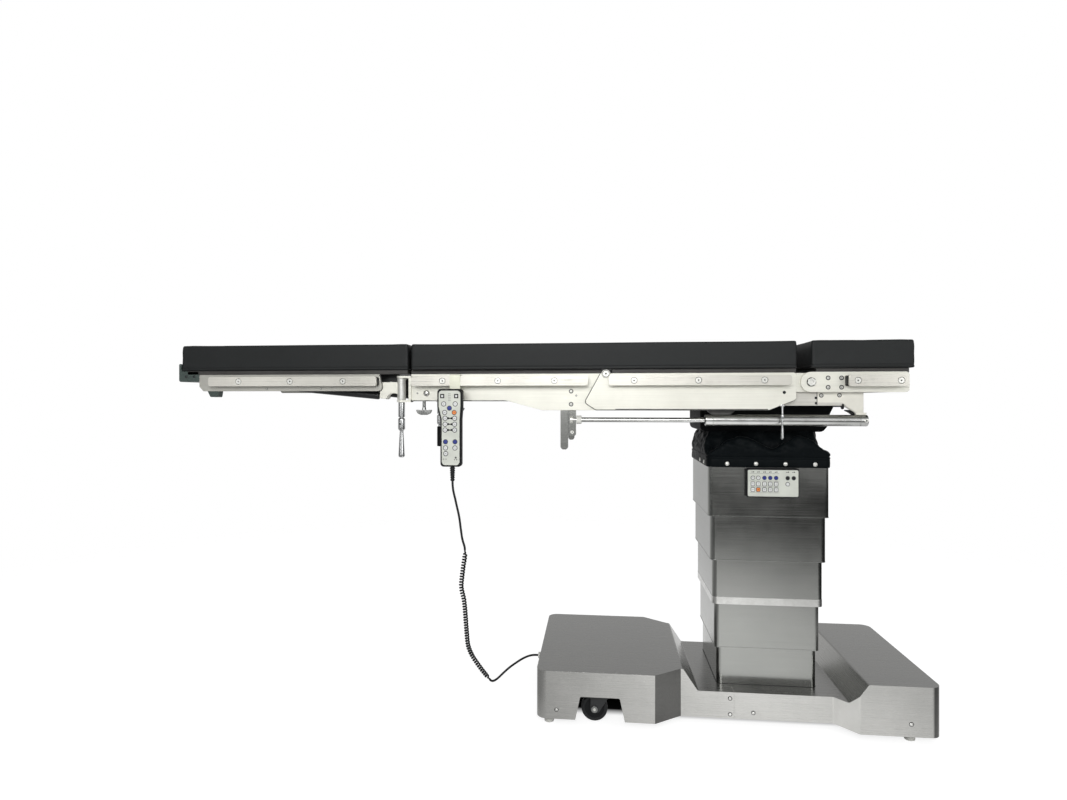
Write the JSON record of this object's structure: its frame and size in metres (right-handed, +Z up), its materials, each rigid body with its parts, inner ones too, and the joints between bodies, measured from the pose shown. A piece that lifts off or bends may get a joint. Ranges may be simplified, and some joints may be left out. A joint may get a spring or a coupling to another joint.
{
  "type": "operating table",
  "caption": "Operating table with a telescopic column on a castered base, a tilting and shifting padded top in hinged sections, and a hand control on a curly cord.",
  "frame": {"origin": "on the floor, under the middle of the table's overall box, which is taken without the cord", "axes": "+X towards the head end, +Y to the side away from the hand control, +Z up"},
  "size_m": [2.078, 0.577, 1.042],
  "materials": {
    "stainless": "brushed along the sheet",
    "chrome": "polished",
    "black_paint": "satin",
    "cream_paint": "satin, pale cream",
    "black_plastic": "satin",
    "pale_plastic": "satin",
    "black_rubber": "satin",
    "pad_cover": "smooth coated cover over foam",
    "bellows_cloth": "coated cloth with a dull sheen"
  },
  "bodies": {
    "base": {"base_cover": "stainless", "chassis": "black_paint", "column_sleeve_1": "stainless", "lift_ram_barrel": "stainless", "cord_gland": "pale_plastic", "cord_curl": "black_rubber", "cord_lower": "black_rubber"},
    "column_2": {"column_sleeve_2": "stainless"},
    "column_3": {"column_sleeve_3": "stainless"},
    "column_4": {"column_sleeve_4": "stainless"},
    "column_top": {"column_sleeve_5": "stainless", "lift_ram_plunger": "chrome", "control_panel": "black_plastic", "bellows": "bellows_cloth"},
    "cross": {"tilt_cross": "stainless"},
    "guide": {"guide_frame": "cream_paint", "tilt_hood": "black_plastic", "shift_cylinder": "stainless"},
    "seat": {"seat_frame": "stainless", "seat_rail_right": "stainless", "seat_rail_left": "stainless", "seat_pad": "pad_cover", "pad_flex_zone": "pad_cover", "shift_rod": "chrome", "hand_control": "black_plastic", "control_hook": "pale_plastic", "cord_upper": "black_rubber"},
    "back": {"back_frame": "stainless", "back_rail_right": "stainless", "back_rail_left": "stainless", "back_pad": "pad_cover"},
    "head": {"head_frame": "stainless", "head_rail_right": "stainless", "head_rail_left": "stainless", "head_pad": "pad_cover"},
    "release": {"release_lever": "chrome"},
    "leg_hinge_right": {"leg_hinge_right": "stainless"},
    "leg_right": {"leg_frame_right": "stainless", "leg_rail_right": "stainless", "leg_pad_right": "pad_cover"},
    "spring_right": {"gas_spring_right": "black_paint"},
    "clamp_right": {"clamp_handle_right": "chrome"},
    "leg_hinge_left": {"leg_hinge_left": "stainless"},
    "leg_left": {"leg_frame_left": "stainless", "leg_rail_left": "stainless", "leg_pad_left": "pad_cover"},
    "spring_left": {"gas_spring_left": "black_paint"},
    "clamp_left": {"clamp_handle_left": "chrome"},
    "caster_foot_right": {"caster_fork_foot_right": "black_paint"},
    "wheel_foot_right": {"caster_wheel_foot_right": "black_rubber"},
    "lock_foot_right": {"lock_foot_foot_right": "pale_plastic"},
    "caster_foot_left": {"caster_fork_foot_left": "black_paint"},
    "wheel_foot_left": {"caster_wheel_foot_left": "black_rubber"},
    "lock_foot_left": {"lock_foot_foot_left": "pale_plastic"},
    "caster_head_right": {"caster_fork_head_right": "black_paint"},
    "wheel_head_right": {"caster_wheel_head_right": "black_rubber"},
    "lock_head_right": {"lock_foot_head_right": "pale_plastic"},
    "caster_head_left": {"caster_fork_head_left": "black_paint"},
    "wheel_head_left": {"caster_wheel_head_left": "black_rubber"},
    "lock_head_left": {"lock_foot_head_left": "pale_plastic"}
  },
  "joints": [
    {"name": "lift", "type": "slide", "parent": "base", "child": "column_top", "axis": [0, 0, 1], "range_m": [-0.4, 0], "deforming": ["lift_ram_plunger", "cord_upper", "cord_curl", "cord_lower"]},
    {"name": "lift_2", "type": "slide", "parent": "base", "child": "column_2", "axis": [0, 0, 1], "range_m": [-0.101, 0]},
    {"name": "lift_3", "type": "slide", "parent": "base", "child": "column_3", "axis": [0, 0, 1], "range_m": [-0.201, 0]},
    {"name": "lift_4", "type": "slide", "parent": "base", "child": "column_4", "axis": [0, 0, 1], "range_m": [-0.301, 0]},
    {"name": "lateral_tilt", "type": "hinge", "parent": "column_top", "child": "cross", "pos_m": [0.628, 0.0135, 0.84], "axis": [1, 0, 0], "range_deg": [-15, 15], "deforming": ["bellows", "cord_upper", "cord_curl", "cord_lower"]},
    {"name": "trendelenburg_tilt", "type": "hinge", "parent": "cross", "child": "guide", "pos_m": [0.628, 0.0135, 0.84], "axis": [0, 1, 0], "range_deg": [-20, 20], "deforming": ["bellows", "cord_upper", "cord_curl", "cord_lower"]},
    {"name": "table_shift", "type": "slide", "parent": "guide", "child": "seat", "axis": [1, 0, 0], "range_m": [0, 0.32], "deforming": ["cord_upper", "cord_curl", "cord_lower"]},
    {"name": "back_tilt", "type": "hinge", "parent": "seat", "child": "back", "pos_m": [0.185, 0.0135, 0.955], "axis": [0, -1, 0], "range_deg": [0, 70], "deforming": ["pad_flex_zone"]},
    {"name": "head_tilt", "type": "hinge", "parent": "back", "child": "head", "pos_m": [0.717, 0.0135, 0.931], "axis": [0, -1, 0], "range_deg": [-18, 15]},
    {"name": "release_swing", "type": "hinge", "parent": "back", "child": "release", "pos_m": [0.643, -0.239, 0.868], "axis": [0, 1, 0], "range_deg": [-30, 30]},
    {"name": "leg_spread_right", "type": "hinge", "parent": "seat", "child": "leg_hinge_right", "pos_m": [-0.384, -0.2225, 0.915], "axis": [0, 0, 1], "range_deg": [0, 80]},
    {"name": "leg_tilt_right", "type": "hinge", "parent": "leg_hinge_right", "child": "leg_right", "pos_m": [-0.417, -0.1865, 0.93], "axis": [0, 1, 0], "range_deg": [-90, 0]},
    {"name": "spring_turn_right", "type": "hinge", "parent": "leg_hinge_right", "child": "spring_right", "pos_m": [-0.431, -0.1985, 0.894], "axis": [0, 1, 0], "range_deg": [-98, 0]},
    {"name": "clamp_turn_right", "type": "hinge", "parent": "seat", "child": "clamp_right", "pos_m": [-0.384, -0.2225, 0.88], "axis": [0, 0, 1], "range_deg": [-90, 0]},
    {"name": "leg_spread_left", "type": "hinge", "parent": "seat", "child": "leg_hinge_left", "pos_m": [-0.384, 0.2495, 0.915], "axis": [0, 0, -1], "range_deg": [0, 80]},
    {"name": "leg_tilt_left", "type": "hinge", "parent": "leg_hinge_left", "child": "leg_left", "pos_m": [-0.417, 0.2135, 0.93], "axis": [0, 1, 0], "range_deg": [-90, 0]},
    {"name": "spring_turn_left", "type": "hinge", "parent": "leg_hinge_left", "child": "spring_left", "pos_m": [-0.431, 0.2255, 0.894], "axis": [0, 1, 0], "range_deg": [-98, 0]},
    {"name": "clamp_turn_left", "type": "hinge", "parent": "seat", "child": "clamp_left", "pos_m": [-0.384, 0.2495, 0.88], "axis": [0, 0, 1], "range_deg": [-90, 0]},
    {"name": "caster_swivel_foot_right", "type": "hinge", "parent": "base", "child": "caster_foot_right", "pos_m": [0.176, -0.1915, 0.08], "axis": [0, 0, 1], "continuous": true},
    {"name": "wheel_roll_foot_right", "type": "hinge", "parent": "caster_foot_right", "child": "wheel_foot_right", "pos_m": [0.154, -0.1915, 0.0375], "axis": [0, 1, 0], "continuous": true},
    {"name": "caster_swivel_foot_left", "type": "hinge", "parent": "base", "child": "caster_foot_left", "pos_m": [0.176, 0.2185, 0.08], "axis": [0, 0, 1], "continuous": true},
    {"name": "wheel_roll_foot_left", "type": "hinge", "parent": "caster_foot_left", "child": "wheel_foot_left", "pos_m": [0.154, 0.2185, 0.0375], "axis": [0, 1, 0], "continuous": true},
    {"name": "caster_swivel_head_right", "type": "hinge", "parent": "base", "child": "caster_head_right", "pos_m": [0.9, -0.1615, 0.08], "axis": [0, 0, 1], "continuous": true},
    {"name": "wheel_roll_head_right", "type": "hinge", "parent": "caster_head_right", "child": "wheel_head_right", "pos_m": [0.878, -0.1615, 0.0375], "axis": [0, 1, 0], "continuous": true},
    {"name": "caster_swivel_head_left", "type": "hinge", "parent": "base", "child": "caster_head_left", "pos_m": [0.9, 0.1885, 0.08], "axis": [0, 0, 1], "continuous": true},
    {"name": "wheel_roll_head_left", "type": "hinge", "parent": "caster_head_left", "child": "wheel_head_left", "pos_m": [0.878, 0.1885, 0.0375], "axis": [0, 1, 0], "continuous": true},
    {"name": "floor_lock_foot_right", "type": "slide", "parent": "base", "child": "lock_foot_right", "axis": [0, 0, 1], "range_m": [0, 0.016]},
    {"name": "floor_lock_foot_left", "type": "slide", "parent": "base", "child": "lock_foot_left", "axis": [0, 0, 1], "range_m": [0, 0.016]},
    {"name": "floor_lock_head_right", "type": "slide", "parent": "base", "child": "lock_head_right", "axis": [0, 0, 1], "range_m": [0, 0.016]},
    {"name": "floor_lock_head_left", "type": "slide", "parent": "base", "child": "lock_head_left", "axis": [0, 0, 1], "range_m": [0, 0.016]}
  ],
  "couplings": [
    {"joint": "lift_2", "follows": "lift", "ratio": 0.25},
    {"joint": "lift_3", "follows": "lift", "ratio": 0.5},
    {"joint": "lift_4", "follows": "lift", "ratio": 0.75},
    {"joint": "spring_turn_right", "follows": "leg_tilt_right", "ratio": 1.08},
    {"joint": "spring_turn_left", "follows": "leg_tilt_left", "ratio": 1.08},
    {"joint": "floor_lock_foot_left", "follows": "floor_lock_foot_right", "ratio": 1},
    {"joint": "floor_lock_head_right", "follows": "floor_lock_foot_right", "ratio": 1},
    {"joint": "floor_lock_head_left", "follows": "floor_lock_foot_right", "ratio": 1}
  ]
}
